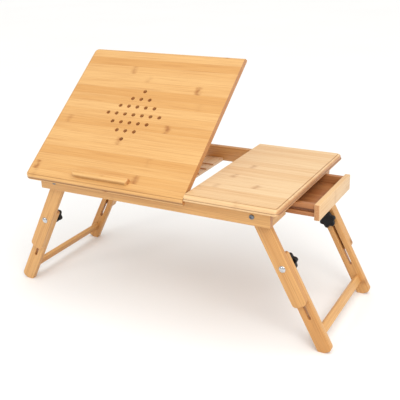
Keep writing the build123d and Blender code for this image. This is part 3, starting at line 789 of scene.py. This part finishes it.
def drill(bm, x, y, low_z, high_z):
    """A spun cutter for one hole through a board."""
    wide = vent_radius + lip + past
    profile = [(0, low_z - past), (wide, low_z - past), (vent_radius, low_z + lip),
               (vent_radius, high_z - lip), (wide, high_z + past), (0, high_z + past)]
    spots = [bm.verts.new((x + out, y, up)) for out, up in profile]
    row = [bm.edges.new(pair) for pair in zip(spots, spots[1:])]
    bmesh.ops.spin(bm, geom=row, cent=(x, y, 0), axis=(0, 0, 1), dvec=(0, 0, 0),
                   angle=math.radians(360), steps=24, use_merge=True, use_duplicate=False)


vent_middle_y = (tilt_low.y + tilt_high.y) / 2 + vent_behind_middle
vent_middle_x = (tilt_low.x + tilt_high.x) / 2 - vent_off_centre
holes = fresh()
for row, count in enumerate(vent_rows):
    for column in range(count):
        x = vent_middle_x + (column - (count - 1) / 2) * vent_pitch
        y = vent_middle_y + (row - (len(vent_rows) - 1) / 2) * vent_pitch
        drill(holes, x, y, tilt_low.z, tilt_high.z)
bmesh.ops.remove_doubles(holes, verts=holes.verts, dist=weld)
panel = carve(moulded_panel(tilt_low, tilt_high, True), holes)
settle(panel, "reading_panel_board", "reading_panel", "panel", ["tilt_panel"],
       panel_place)

# %% [markdown]
# ## Flat shapes with round corners
# The leg slats and the ledge are cut from boards with some corners rounded. A single
# quad is stretched to the outline, its corners are bevelled as vertices, and the face is
# extruded to the board's thickness. It is what a bandsaw and a sanding disc would do.

# %% An outline, and its board
def outline(bm, low, high, radii, lying="XZ"):
    """A flat face with round corners; radii names a radius for each corner."""
    stand = Matrix.Rotation(math.radians(90), 4, "X") if lying == "XZ" else Matrix.Identity(4)
    bmesh.ops.create_grid(bm, x_segments=1, y_segments=1, size=0.5, matrix=stand)
    base = low.y if lying == "XZ" else low.z
    up = "z" if lying == "XZ" else "y"
    for vert in bm.verts:
        right = vert.co.x > 0
        far = getattr(vert.co, up) > 0
        vert.co.x = high.x if right else low.x
        setattr(vert.co, up, getattr(high, up) if far else getattr(low, up))
        setattr(vert.co, "y" if lying == "XZ" else "z", base)
    for vert in list(bm.verts):
        right = vert.co.x > (low.x + high.x) / 2
        far = getattr(vert.co, up) > (getattr(low, up) + getattr(high, up)) / 2
        radius = radii.get((1 if right else -1, 1 if far else -1))
        if radius:
            bmesh.ops.bevel(bm, geom=[vert], offset=radius, offset_type="OFFSET", segments=10,
                            profile=0.5, affect="VERTICES", material=-1, clamp_overlap=False)
    bmesh.ops.remove_doubles(bm, verts=bm.verts, dist=weld)
    return bm


def thicken(bm, step):
    """Extrudes the outline into a board."""
    made = bmesh.ops.extrude_face_region(bm, geom=list(bm.faces))["geom"]
    bmesh.ops.translate(bm, vec=step, verts=[g for g in made if isinstance(g, bmesh.types.BMVert)])
    bmesh.ops.recalc_face_normals(bm, faces=bm.faces)
    return bm


# %% [markdown]
# The ledge keeps a laptop or book from sliding off. It is a strip with two round front
# corners, glued on near the panel's front edge. Its rim is rounded well, because wrists
# rest on it, and its front face gets a painted shade, since it faces away from the light.

# %% The stop ledge
ledge_low, ledge_high = node_span("stop_ledge", panel_place)
ledge_end = 7.0 * MM
ledge_round = 3.0 * MM
ledge = outline(fresh(), ledge_low, ledge_high, {(-1, -1): ledge_end, (1, -1): ledge_end}, "XY")
thicken(ledge, (0, 0, ledge_high.z - ledge_low.z))
ledge_rim = [e for e in creases(ledge) if min(v.co.z for v in e.verts) > ledge_high.z - weld]
soften(ledge, ledge_rim, ledge_round, 5)
# Painted shade on the front face, which faces away from the light.
ledge_front = [f for f in ledge.faces if f.calc_center_median().y < ledge_low.y + 0.2 * MM]
paint(ledge, "painted_shade", ledge_front, 0.55)
print("ledge volume", round(ledge.calc_volume(signed=True) * 1e6, 1), "cm3")
settle(ledge, "ledge", "reading_panel", "ledge", ["stop_ledge"], panel_place)

# %% [markdown]
# ## The legs
# Each leg is two slats that slide on each other. The upper slat is round at the top, where
# it turns on its pivot, so that it never catches on the rail. Its lower corners are rounded
# too, because they pass close to the user's knees.

# %% Upper slats
foot_round = 8.1 * MM


def upper_slat(side, end):
    node = f"{side}_{end}_upper_leg"
    place = leg_place[side]
    low, high = node_span(node, place)
    top = (high.x - low.x) / 2
    radii = {(-1, 1): top, (1, 1): top, (-1, -1): foot_round, (1, -1): foot_round}
    slat = thicken(outline(fresh(), low, high, radii), (0, high.y - low.y, 0))
    soften(slat, creases(slat), 0.9 * MM)
    return settle(slat, f"{side}_{end}_upper_slat", f"{side}_upper_legs",
                  f"{side}_leg", [node], place)


for side in ("right", "left"):
    for end in ("rear", "front"):
        upper_slat(side, end)

# %% [markdown]
# The lower slat has a long slot for the clamping bolt. Its foot is cut level with the
# floor by slicing the slanted outline with the floor's plane, as one would mark it with
# the table standing. A thin cross board joins the two lower slats of each side.

# %% Lower slats with their slots
slot_half = 3.0 * MM
clamp_down = 111.0 * MM
slot_down = 217.0 * MM
slat_top_round = 5.0 * MM


def slot_cutter(low, high):
    """A stadium through the slat, from the clamp bolt down."""
    slot_low = Vector((-slot_half, low.y - past, -slot_down - slot_half))
    slot_high = Vector((slot_half, high.y + past, -clamp_down + slot_half))
    ends = {(x, z): slot_half for x in (-1, 1) for z in (-1, 1)}
    return thicken(outline(fresh(), slot_low, slot_high, ends),
                   (0, slot_high.y - slot_low.y, 0))


def lower_slat(side, end):
    node = f"{side}_{end}_lower_leg"
    place = leg_place[side]
    low, high = node_span(node, place)
    outer = 1 if side == "right" else -1
    radii = {(-1, 1): slat_top_round, (1, 1): slat_top_round, (outer, -1): foot_round}
    slat = outline(fresh(), low, high, radii)
    floor_normal = place.to_3x3().inverted() @ Vector((0, 0, -1))
    floor_spot = place.inverted() @ Vector((0, 0, 0))
    bmesh.ops.bisect_plane(slat, geom=slat.verts[:] + slat.edges[:] + slat.faces[:],
                           plane_co=floor_spot, plane_no=floor_normal, clear_outer=True)
    thicken(slat, (0, high.y - low.y, 0))
    carve(slat, slot_cutter(low, high))
    soften(slat, creases(slat), 0.8 * MM)
    return settle(slat, f"{side}_{end}_lower_slat", f"{side}_lower_legs",
                  f"{side}_leg", [node], place)


for side in ("right", "left"):
    for end in ("rear", "front"):
        lower_slat(side, end)
    board(f"{side}_stretcher", f"{side}_lower_legs", "bamboo_legs", f"{side}_bar",
          leg_place[side], 2.0 * MM)

# %% [markdown]
# ## Star knobs
# A knob's grip is a disc whose rim waves in and out six times. A capped circle gets its
# rim from that wave, is extruded into a disc, and its edges are rounded well because a
# hand turns it. A round boss joins it to the washer.

# %% The star knob
knob_dip = 3.6 * MM
knob_lobes = 6
knob_round = 1.8 * MM
boss_height = 5.0 * MM
boss_radius = 7.0 * MM
boss_root_radius = 8.6 * MM


def star_knob(side, end):
    node = f"{side}_{end}_knob"
    spin = joints[f"{node}_turn"]
    inward = Vector(spin["axis"])
    across = Vector((0, 1, 0)).cross(Vector(joints[f"{side}_legs_shorten"]["axis"]))
    place = frame_from(spin["pos_m"], across, inward)
    low, high = node_span(node, place)
    knob_reach = (high.x - low.x) / 2
    bm = fresh()
    bmesh.ops.create_circle(bm, cap_ends=True, segments=96, radius=1.0)
    for vert in bm.verts:
        turn = math.atan2(vert.co.y, vert.co.x)
        reach = knob_reach - knob_dip * (0.5 - 0.5 * math.cos(knob_lobes * turn)) ** 1.3
        vert.co = Vector((reach * math.cos(turn), reach * math.sin(turn), boss_height))
    thicken(bm, (0, 0, high.z - boss_height))
    soften(bm, creases(bm, 60), knob_round, 4)
    top = [f for f in bm.faces if f.calc_center_median().z > high.z - weld]
    bmesh.ops.inset_region(bm, faces=top, thickness=2.2 * MM, depth=0)
    bmesh.ops.inset_region(bm, faces=top, thickness=0.6 * MM, depth=-0.5 * MM)
    boss = bmesh.ops.create_cone(bm, cap_ends=True, segments=48, radius1=boss_radius,
                                 radius2=boss_root_radius, depth=boss_height)["verts"]
    bmesh.ops.translate(bm, vec=(0, 0, low.z + boss_height / 2), verts=boss)
    return settle(bm, f"{side}_{end}_star_knob", node, "black", [node], place)


for side in ("right", "left"):
    for end in ("rear", "front"):
        star_knob(side, end)

# %% [markdown]
# ## Bolts
# The clamping bolts are coach bolts: a polished dome sits on the upper slat and the
# shank runs through both slats into the knob. Turned parts are made as on a lathe: half a
# profile, spun round the axis, which closes itself at both poles.

# %% Turned parts
def lathe(bm, profile, place):
    """Spins a profile of (radius, height) round Z and puts it in place."""
    spots = [bm.verts.new((radius, 0, height)) for radius, height in profile]
    row = [bm.edges.new(pair) for pair in zip(spots, spots[1:])]
    before = set(bm.verts) - set(spots)
    bmesh.ops.spin(bm, geom=row, cent=(0, 0, 0), axis=(0, 0, 1), dvec=(0, 0, 0),
                   angle=math.radians(360), steps=40, use_merge=True, use_duplicate=False)
    made = [v for v in bm.verts if v not in before]
    bmesh.ops.transform(bm, matrix=place, verts=made)


def dome(radius, height, rim):
    """A domed head above a thin rim."""
    sphere = (radius ** 2 + (height - rim) ** 2) / (2 * (height - rim))
    points = [(radius * 0.98, 0), (radius, rim * 0.5), (radius, rim)]
    start = math.acos(radius / sphere)
    for i in range(1, 9):
        turn = start + (math.pi / 2 - start) * i / 8
        points.append((sphere * math.cos(turn), height - sphere + sphere * math.sin(turn)))
    points[-1] = (0, height)
    return points


clamp_head = 6.5 * MM
clamp_head_height = 3.2 * MM
clamp_rim = 0.5 * MM
bolt_radius = 2.6 * MM
bolt_into_knob = 11 * MM
table_middle_y = sum(c[1] for c in (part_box("front_rail")[0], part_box("rear_rail")[1])) / 2


def clamp_bolts(side):
    bm = fresh()
    bolts_low, bolts_high = node_span(f"{side}_clamp_bolts", leg_place[side])
    middle = (bolts_low.y + bolts_high.y) / 2
    face = node_span(f"{side}_rear_upper_leg", leg_place[side])[1].y
    knob_end = joints[f"{side}_rear_knob_turn"]["pos_m"][1] - bolt_into_knob
    for sign in (1, -1):
        spot = Vector((0, middle + sign * (face - middle), -clamp_down))
        out = frame_from(spot, (1, 0, 0), (0, sign, 0))
        length = (face - middle) - (knob_end - table_middle_y)
        shank = [(0, -length), (bolt_radius, -length), (bolt_radius, 0)]
        lathe(bm, shank + dome(clamp_head, clamp_head_height, clamp_rim), out)
    return settle(bm, f"{side}_coach_bolts", f"{side}_upper_legs", "bright",
                  [f"{side}_clamp_bolts"], leg_place[side])


for side in ("right", "left"):
    clamp_bolts(side)


# %% [markdown]
# The legs turn on four bolts through the long rails. Their low heads have a chamfered rim
# and a socket for a key, which is all in the profile that the lathe spins.

# %% Pivot bolts with a socket
pivot_head = 4.6 * MM
pivot_head_height = 2.3 * MM
pivot_rim = 1.4 * MM
pivot_chamfer = 0.9 * MM
pivot_shank = 28 * MM
socket_radius = 2.2 * MM
socket_depth = 1.2 * MM


def pivot_bolts():
    bm = fresh()
    low, high = node_span("pivot_bolts")
    for side in ("right", "left"):
        pivot = Vector(joints[f"{side}_legs_fold"]["pos_m"])
        for sign, face in ((1, high.y - pivot_head_height), (-1, low.y + pivot_head_height)):
            spot = frame_from((pivot.x, face, pivot.z), (1, 0, 0), (0, sign, 0))
            floor = pivot_head_height - socket_depth
            shank = [(0, -pivot_shank), (bolt_radius, -pivot_shank), (bolt_radius, 0)]
            head = [(pivot_head, 0), (pivot_head, pivot_rim),
                    (pivot_head - pivot_chamfer, pivot_head_height)]
            socket = [(socket_radius, pivot_head_height), (socket_radius, floor), (0, floor)]
            lathe(bm, shank + head + socket, spot)
    return settle(bm, "pivot_bolts_turned", "frame", "dull", ["pivot_bolts"])


pivot_bolts()

# %% [markdown]
# ## Drawer
# The sides are grooved where they slide on the runners and a thin board forms the
# bottom. The groove is cut with a bar a little larger than the runner it rides on.

# %% The drawer's boards
runner_play = 0.4 * MM
bar_past = 5 * MM
groove_depth_least = 1 * MM
groove_reach = 4 * MM
for end in ("rear", "front"):
    node = f"drawer_side_{end}"
    low, high = node_span(node)
    run_low, run_high = node_span(f"drawer_runner_{end}")
    side_board = fresh()
    cuboid(side_board, low, high)
    bar = fresh()
    outer = high.y if end == "rear" else low.y
    inner = (run_low.y - runner_play) if end == "rear" else (run_high.y + runner_play)
    beyond = outer + (bar_past if end == "rear" else -bar_past)
    cuboid(bar, Vector((low.x - bar_past, min(inner, beyond), run_low.z - runner_play)),
           Vector((high.x + bar_past, max(inner, beyond), run_high.z + runner_play)))
    carve(side_board, bar)
    # Painted shade on the faces inside the groove, which lie in shadow.
    run_middle = (run_low.z + run_high.z) / 2
    narrow = 2 * groove_reach * (high.x - low.x)
    in_groove = [f for f in side_board.faces if f.calc_area() < narrow
                 and abs(f.calc_center_median().y - outer) > groove_depth_least
                 and abs(f.calc_center_median().z - run_middle) < groove_reach]
    paint(side_board, "painted_shade", in_groove)
    soften(side_board, creases(side_board), 0.5 * MM)
    settle(side_board, f"{node}_board", "drawer", "drawer_run", [node])

# %% [markdown]
# The drawer's front is a thicker, lacquered board. The back and the bottom are plain, and
# two runners on the frame fit the grooves in the sides.

# %% Front, back, bottom and runners
board("drawer_back", "drawer", "bamboo_inner", "drawer_cross", level, 0.6 * MM)
board("drawer_bottom", "drawer", "drawer_board", "drawer_run", level, 0.3 * MM)
board("drawer_front", "drawer", "bamboo_frame", "drawer_cross", level, 1.0 * MM)
for end in ("rear", "front"):
    board(f"drawer_runner_{end}", "frame", "bamboo_inner", "drawer_run", level, 0.4 * MM)

# %% [markdown]
# ## Racks and prop
# Under the tilting panel a prop drops its round bar into saw-tooth notches. Each notch is
# a wedge cut out of the rack: upright at the back, where it holds the bar, and sloping at
# the front, where the bar slides out.

# %% Toothed racks
notch_pitch = 33.0 * MM
notch_count = 4
notch_depth = 3.0 * MM
notch_ramp = 15.0 * MM
bar_radius = (foot_high.z - foot_low.z) / 2
bar_middle_y = (foot_low.y + foot_high.y) / 2
rack_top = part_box("middle_rack")[1][2]


def wedge(bm, x0, x1, wall):
    """A triangular cutter: a box with its lower front edge raised."""
    corner = Vector((x0 - past, wall - notch_ramp, rack_top - notch_depth))
    made = cuboid(bm, corner, Vector((x1 + past, wall, rack_top + past)))
    for vert in made:
        if vert.co.y < wall - notch_ramp / 2 and vert.co.z < rack_top:
            vert.co.z = rack_top


def notched(node):
    low, high = (Vector(c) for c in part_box(node))
    bm = fresh()
    cuboid(bm, low, Vector((high.x, high.y, rack_top)))
    tool = fresh()
    for i in range(notch_count):
        wedge(tool, low.x, high.x, bar_middle_y + bar_radius + i * notch_pitch)
    carve(bm, tool)
    soften(bm, creases(bm), 0.35 * MM, 2)
    return settle(bm, f"{node}_board", "frame", "rack", [node])


notched("middle_rack")

# %% [markdown]
# The prop is two arms with round ends and a cross bar. The arms swing on pins at the top
# and hold the round bar at the bottom. An arm is an outline too, drawn in the prop's own
# frame and turned so that its thickness runs across the prop.

# %% The prop
for node in ("prop_arm_left", "prop_arm_right"):
    low, high = node_span(node, prop_place)
    stand = Matrix.Rotation(math.radians(90), 4, "Z")
    turned_low = Vector((low.y, -high.x, low.z))
    turned_high = Vector((high.y, -low.x, high.z))
    round_end = (high.z - low.z) / 2 - 0.01 * MM
    arm = outline(fresh(), turned_low, turned_high,
                  {(x, z): round_end for x in (-1, 1) for z in (-1, 1)})
    thicken(arm, (0, turned_high.y - turned_low.y, 0))
    soften(arm, creases(arm), 0.7 * MM)
    settle(arm, f"{node}_slat", "prop", "prop", [node], prop_place @ stand)
board("prop_cross_bar", "prop", "bamboo_inner", "prop_cross", prop_place, 1.0 * MM)

# %% [markdown]
# ## Nodes that stay as they are
# Hinges, brackets, screws, washers, spacers, the left rack and the prop's round bar are
# already exact in the part. They keep their meshes and only get a finish, in the slots
# that they came with.

# %% Finishes for the nodes that stay
kept_nodes = {
    "bright": ("hinge_frame_leaves", "hinge_frame_screws", "hinge_pins", "hinge_panel_leaves",
               "hinge_panel_screws", "prop_brackets", "prop_bracket_screws", "prop_pins",
               "middle_rack_screws", "left_rack_screws", "right_knob_washers",
               "left_knob_washers"),
    "white": ("pivot_spacers",),
    "rack": ("left_rack",),
    "prop_cross": ("prop_foot_bar",),
}
for finish, nodes in kept_nodes.items():
    for node in nodes:
        for slot in frame["nodes"][node].material_slots:
            slot.material = finishes[finish]
print(sum(len(nodes) for nodes in kept_nodes.values()), "nodes kept")

# %% [markdown]
# ## Floor
# A pale sweep stands under the table, wide enough that its edge is never seen.

# %% The floor
floor_reach = 40.0


def pale_floor():
    recipe = Recipe("pale floor")
    spot = recipe.add("ShaderNodeTexCoord").outputs["Object"]
    cloud = recipe.noise(spot, 1.5, 3.0)
    tint = recipe.blend(cloud, (0.86, 0.86, 0.85, 1), (0.90, 0.90, 0.89, 1))
    recipe.finish(Base_Color=tint, Roughness=0.85)
    bm = bmesh.new()
    bmesh.ops.create_grid(bm, x_segments=1, y_segments=1, size=floor_reach)
    mesh = bpy.data.meshes.new("floor")
    bm.to_mesh(mesh)
    bm.free()
    mesh.materials.append(recipe.material)
    floor = bpy.data.objects.new("floor", mesh)
    bpy.context.scene.collection.objects.link(floor)
    return floor


pale_floor()
print("floor laid")
